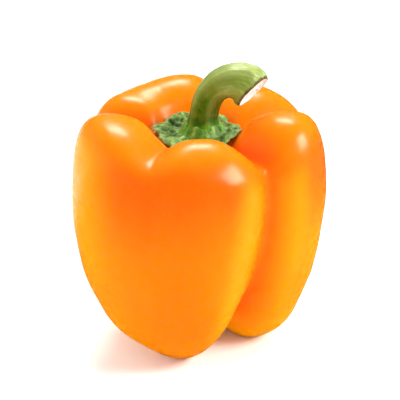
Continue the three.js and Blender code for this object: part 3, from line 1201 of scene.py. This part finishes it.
@dataclass
class Stem:
    """The ribbed stalk, bent over and cut across, with its pale cut face.

    It is a section carried along a line from the calyx to the cut. Places along it run from 0 to
    1. A feature given as a pair has its place first and then how far it reaches.
    """

    fruit: Fruit
    line: tuple[Triple, ...] = (
        (0.0024, 0.0, 0.08135),
        (0.0025, 0.0, 0.0865),
        (0.0039, 0.0, 0.0920),
        (0.0073, -0.0003, 0.0968),
        (0.0122, -0.0012, 0.0989),
        (0.0160, -0.0021, 0.0980),
        (0.0186, -0.0028, 0.0956),
    )
    cut: Triple = (0.67, -0.47, -0.57)
    radius: float = 4.8 * MM
    flare: float = 1.0 * MM
    flare_end: float = 0.16
    swell: float = 1.8 * MM
    swell_at: Pair = (0.45, 0.5)
    knuckle: float = 1.2 * MM
    knuckle_at: Pair = (0.93, 0.11)
    worn: float = 0.5 * MM
    worn_at: Pair = (0.93, 0.07)
    slide_at: Pair = (0.5, 0.5)
    ribs: int = 5
    rib: float = 0.05
    twist: float = 30.0
    lumps: Pair = (0.16 * MM, 0.05 * MM)
    torn: Pair = (0.30 * MM, 0.16 * MM)
    lip: float = 0.25 * MM
    lip_at: Pair = (0.965, 0.035)
    dish: float = 0.7 * MM
    grain: float = 4 * MM
    sides: int = 192
    steps: int = 150
    face_rings: int = 34

    def _path(self, t: Array) -> tuple[Array, Array]:
        """The centre line: a free spline through its points, with knots a chord apart.

        Args:
            t: Places along the stem.

        Returns:
            The points, and the unit tangents, from the difference of two points close by.
        """
        points = np.array(self.line)
        chords = np.linalg.norm(np.diff(points, axis=0), axis=1)
        knots = np.concatenate([[0.0], np.cumsum(chords)]) / chords.sum()
        step = 1e-3
        places = spline_weights(knots, t, Ends.FREE) @ points
        ahead = spline_weights(knots, np.minimum(t + step, 1.0), Ends.FREE) @ points
        behind = spline_weights(knots, np.maximum(t - step, 0.0), Ends.FREE) @ points
        tangent = ahead - behind
        return places, tangent / np.linalg.norm(tangent, axis=-1, keepdims=True)

    def _radius(self, t: Array, theta: Array) -> Array:
        """Radius of the section: flared base, swollen end, ribs that turn slowly, fine lines.

        The angle is 0 on the inside of the bend, and the knuckle sits on the outside. The last
        stretch is worn down towards the cut.

        Args:
            t: Places along the stem, as rows by 1.
            theta: Angles round it in degrees, as 1 by columns.

        Returns:
            The radius at each.
        """
        swollen = ease((t - self.swell_at[0]) / self.swell_at[1])
        plain = self.radius + self.flare * (1 - ease(t / self.flare_end)) + self.swell * swollen
        bell = np.exp(-(((t - self.knuckle_at[0]) / self.knuckle_at[1]) ** 2))
        knuckle = self.knuckle * bell * np.maximum(-cosine(theta), 0.0)
        turned = self.ribs * theta + self.twist * t
        ribs = self.rib * (0.6 * cosine(turned) + 0.4 * np.abs(cosine(turned / 2)) ** 3)
        lines = 0.009 * sine(17 * theta + 60 * t) + 0.006 * sine(29 * theta - 35 * t)
        worn = self.worn * (((t - self.worn_at[0]) / self.worn_at[1]).clip(0) ** 2)
        return plain * (1.0 + ribs + lines) + knuckle - worn

    def _wall(self, t: Array, theta: Array) -> Array:
        """Rings of the bark, each square to the line.

        From halfway on, each point also slides along the line, by a growing share of what
        brings the last ring into the plane of the cut.

        Args:
            t: Places along the stem.
            theta: Angles round it in degrees.

        Returns:
            The points, as rows of rings with x, y and z on the last axis.
        """
        centre, along = self._path(t)
        side = np.array([0.0, 1.0, 0.0]) - along * along[:, 1:2]
        side /= np.linalg.norm(side, axis=-1, keepdims=True)
        up = np.cross(side, along)
        radius = self._radius(t[:, None], theta[None, :])
        inward = (radius * cosine(theta))[..., None] * up[:, None]
        offset = inward + (radius * sine(theta))[..., None] * side[:, None]
        slide = -(offset[-1] @ self.cut) / (along[-1] @ self.cut)
        slide = slide * ease((t - self.slide_at[0]) / self.slide_at[1])[:, None]
        return centre[:, None] + offset + slide[..., None] * along[:, None]

    def _lumpy(self, wall: Array, t: Array) -> Array:
        """The bark with its lumps: two ripples along the normals, fading out at the cut.

        Args:
            wall: Rings of the bark.
            t: The place of each ring along the stem.

        Returns:
            The moved rings.
        """
        broad, small = self.lumps
        lumps = broad * ripple(wall, 5.5 * MM, 5.0) + small * ripple(wall, 1.9 * MM, 6.0)
        return wall - ring_normals(wall) * (lumps * ease((1 - t) / 0.06)[:, None])[..., None]

    def _face(self, edge: Array, share: Array) -> Array:
        """Rings of the cut face: its edge drawn in to the middle, with a low lip, dished and torn.

        Args:
            edge: The last ring of the bark.
            share: The size of each ring, as a share of the edge.

        Returns:
            The points, as rows of rings with x, y and z on the last axis.
        """
        normal = np.array(self.cut) / np.linalg.norm(self.cut)
        centre = edge.mean(axis=0)
        flat = centre + (edge - centre)[None] * share[:, None, None]
        lip = self.lip * np.sqrt(np.clip(1 - ((share - self.lip_at[0]) / self.lip_at[1]) ** 2, 0, 1))
        sunk = -self.dish * ease((0.95 - share) / 0.2)
        broad, small = self.torn
        torn = broad * ripple(flat, 2.6 * MM, 8.0) + small * ripple(flat, 1.1 * MM, 9.0)
        rough = torn * ease((0.97 - share) / 0.12)[:, None]
        return flat + (lip + sunk)[:, None, None] * normal + rough[..., None] * normal

    def build(self, bark: bpy.types.Material, pith: bpy.types.Material) -> bpy.types.Object:
        """Makes the stem and dresses it. Its rings run from the middle of the cut to the calyx.

        Args:
            bark: The material of its side.
            pith: The material of its cut face.

        Returns:
            The finished piece.
        """
        theta = np.arange(self.sides) * (360.0 / self.sides)
        t = np.linspace(0.0, 1.0, self.steps + 1)
        share = np.linspace(1.0, 0.0, self.face_rings + 2)[1:-1]
        wall = self._lumpy(self._wall(t, theta), t)
        rings = np.concatenate([wall, self._face(wall[-1], share)])[::-1] + self.fruit.shift
        piece = ring_mesh("stem_stalk", rings, rings[0].mean(axis=0), rings[-1].mean(axis=0))
        self._paint(piece, t, share, theta)
        piece.data.materials.append(bark)
        piece.data.materials.append(pith)
        on_face = np.arange(len(piece.data.polygons)) < self.sides * (self.face_rings - 1)
        piece.data.polygons.foreach_set("material_index", on_face.astype(np.int32))
        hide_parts("stem")
        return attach(piece, BODY)

    def _paint(self, piece: bpy.types.Object, t: Array, share: Array, theta: Array) -> None:
        """Paints the way along the stem, its ribs, the outside of the bend where a sheen is painted, the dry
        rim and the flow.

        The rim is a ragged band on both sides of the cut's edge. The flow is the stem straightened
        out and shortened, so that a pattern on it runs lengthwise.

        Args:
            piece: The stem.
            t: Places along the stem of the bark's rings.
            share: The sizes of the cut face's rings.
            theta: Angles round the stem in degrees.
        """
        ones = np.ones_like(theta)
        along = np.concatenate([t, np.ones_like(share)])[:, None] * ones
        inward = np.concatenate([np.zeros_like(t), 1 - share])[:, None] * ones
        turned = self.ribs * theta + self.twist * along
        ragged = 0.004 * sine(7 * theta) + 0.004 * sine(19 * theta + 30)
        rim = ease((along + ragged - 0.974) / 0.014) * ease((0.06 + 3 * ragged - inward) / 0.04)
        reach = (1 - inward) * self.radius
        flow = np.stack([reach * cosine(theta), reach * sine(theta), along * self.grain], -1)
        paint(piece, "along", along[::-1])
        paint(piece, "rib", (np.abs(cosine(turned / 2)) ** 4)[::-1])
        paint(piece, "rim", rim[::-1])
        # The outside of the bend, where the bark finish paints a sheen.
        paint(piece, "upper", np.maximum(-cosine(theta), 0.0) ** 3 * np.ones_like(along))
        paint_place(piece, "flow", flow[::-1])


# ------------------------------------------------------------------------------ studio


@dataclass(frozen=True)
class Softbox:
    """One square lamp, named by where it stands: azimuth from the camera's side, elevation."""

    name: str
    azimuth: float
    elevation: float
    distance: float
    width: float
    height: float
    power: float
    seen_in: SeenIn


@dataclass
class Studio:
    """The pale floor, the lamps, the surrounding light and the camera.

    The light that colours things and the light that they mirror are set apart. The surroundings
    are a fill, plus more from the left and from behind, and almost nothing of them is mirrored.
    The floor is mirrored faintly too, but for a patch at the back on the left, which lies between
    the two ends of patch_y and patch_x.
    """

    target: Vector
    elevation: float = 29.3
    distance: float = 0.6
    lens: float = 155.8
    rise: float = 7.45 * MM
    aside: float = 1.28 * MM
    near_clip: float = 0.01
    fill: float = 0.62
    fill_left: float = 3.5
    left_power: float = 4.0
    fill_back: float = 0.8
    mirrored: float = 0.04
    floor_size: float = 12.0
    floor_colour: Colour = (0.80, 0.80, 0.80)
    floor_seen: float = 1.24
    floor_mirrored: float = 0.05
    patch: float = 1.1
    patch_x: Pair = (0.02, -0.04)
    patch_y: Pair = (0.035, 0.075)
    boxes: tuple[Softbox, ...] = (
        Softbox("back_softbox", 182.0, 50.0, 1.1, 0.42, 0.40, 8.2, SeenIn.COLOUR),
        Softbox("back_glint", 182.0, 50.0, 1.1, 0.40, 0.32, 21.0, SeenIn.MIRROR),
        Softbox("right_softbox", 76.0, 37.0, 0.9, 0.26, 0.34, 8.4, SeenIn.COLOUR),
        Softbox("right_glint", 68.0, 34.0, 0.9, 0.52, 0.62, 70.0, SeenIn.MIRROR),
    )

    def build(self) -> None:
        """Sets up the whole studio."""
        self._floor()
        self._world()
        for box in self.boxes:
            self._lamp(box)
        self._camera()
        settings = bpy.context.scene.view_settings
        settings.view_transform = "Standard"
        settings.look = "None"

    def _floor(self) -> None:
        """A plain pale floor."""
        half = self.floor_size / 2
        corners = [(-half, -half, 0), (half, -half, 0), (half, half, 0), (-half, half, 0)]
        mesh = bpy.data.meshes.new("floor")
        mesh.from_pydata(corners, [], [(0, 1, 2, 3)])
        floor = bpy.data.objects.new("floor", mesh)
        bpy.context.scene.collection.objects.link(floor)
        material, graph, shader = new_material("pale_floor")
        path = graph.add("LightPath").outputs
        place = graph.add("SeparateXYZ", {"Vector": graph.place()}).outputs
        behind, left = graph.span(place["Y"], *self.patch_y), graph.span(place["X"], *self.patch_x)
        patch = graph.math("MULTIPLY", graph.math("MULTIPLY", behind, left), self.patch)
        share = graph.math("ADD", patch, self.floor_mirrored)
        dim = graph.add("HueSaturation", {"Value": share, "Color": self.floor_colour}).outputs["Color"]
        bright = tuple(self.floor_seen * part for part in self.floor_colour)
        colour = graph.blend(path["Is Glossy Ray"], self.floor_colour, dim)
        graph.feed(shader.inputs["Base Color"], graph.blend(path["Is Camera Ray"], colour, bright))
        shader.inputs["Roughness"].default_value = 0.7
        shader.inputs["Specular IOR Level"].default_value = 0.1
        mesh.materials.append(material)

    def _world(self) -> None:
        """White light from all round, far dimmer in reflections than to the eye."""
        world = bpy.data.worlds.new("studio")
        world.use_nodes = True
        bpy.context.scene.world = world
        graph = Graph(world.node_tree)
        path = graph.add("LightPath").outputs
        way = graph.add("SeparateXYZ", {"Vector": graph.add("TexCoord").outputs["Generated"]}).outputs
        left = graph.math("MAXIMUM", graph.math("MULTIPLY", way["X"], -1.0), 0.0)
        left = graph.math("MULTIPLY", graph.math("POWER", left, self.left_power), self.fill_left)
        back = graph.math("MULTIPLY", graph.math("MAXIMUM", way["Y"], 0.0), self.fill_back)
        fill = graph.math("ADD", graph.math("ADD", left, back), self.fill)
        soft = graph.math("MULTIPLY", path["Is Diffuse Ray"], fill)
        strength = graph.math("MAXIMUM", graph.math("MAXIMUM", path["Is Camera Ray"], soft), self.mirrored)
        light = graph.add("Background", {"Color": (1.0, 1.0, 1.0), "Strength": strength})
        graph.add("OutputWorld", {"Surface": light.outputs[0]})

    def _lamp(self, box: Softbox) -> None:
        """Adds one lamp that faces the target.

        Args:
            box: The lamp's place, size, power and what it is seen in.
        """
        turn, lift = math.radians(box.azimuth), math.radians(box.elevation)
        away = Vector((
            math.sin(turn) * math.cos(lift),
            -math.cos(turn) * math.cos(lift),
            math.sin(lift),
        ))
        light = bpy.data.lights.new(box.name, "AREA")
        light.shape = "RECTANGLE"
        light.size = box.width
        light.size_y = box.height
        light.energy = box.power
        lamp = bpy.data.objects.new(box.name, light)
        lamp.location = self.target + away * box.distance
        lamp.rotation_euler = away.to_track_quat("Z", "Y").to_euler()
        lamp.visible_diffuse = box.seen_in is SeenIn.COLOUR
        lamp.visible_glossy = box.seen_in is SeenIn.MIRROR
        bpy.context.scene.collection.objects.link(lamp)

    def _camera(self) -> None:
        """A long lens in front of the pepper, looking down at it a little above its middle."""
        tilt = math.radians(self.elevation)
        back = Vector((0.0, -math.cos(tilt), math.sin(tilt)))
        up = Vector((0.0, math.sin(tilt), math.cos(tilt)))
        data = bpy.data.cameras.new("camera")
        data.lens = self.lens
        data.clip_start = self.near_clip
        camera = bpy.data.objects.new("camera", data)
        camera.location = self.target + back * self.distance
        aim = self.target + up * self.rise + Vector((self.aside, 0.0, 0.0))
        camera.rotation_euler = (camera.location - aim).to_track_quat("Z", "Y").to_euler()
        bpy.context.scene.collection.objects.link(camera)
        bpy.context.scene.camera = camera


# ------------------------------------------------------------------------------ assembly


def report(piece: bpy.types.Object) -> None:
    """Logs a piece's name, face count and size in millimetres."""
    size = ", ".join(f"{side / MM:.1f}" for side in piece.dimensions)
    log.info("%s: %d faces, %s mm", piece.name, len(piece.data.polygons), size)


def write_sizes() -> None:
    """Updates the view layer; no sizes are written."""
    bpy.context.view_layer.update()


def main() -> None:
    """Builds the pepper and its studio in order."""
    logging.basicConfig(level=logging.INFO, format="%(name)s: %(message)s")
    effects = Effects()
    fruit = Fruit()
    Studio(Vector((float(fruit.shift[0]), float(fruit.shift[1]), EYE_LEVEL))).build()
    report(fruit.build(SkinFinish().build(effects)))
    report(Calyx(fruit).build(CalyxFinish().build(effects)))
    report(Stem(fruit).build(BarkFinish().build(effects), PithFinish().build(effects)))
    write_sizes()


if __name__ == "__main__":
    main()
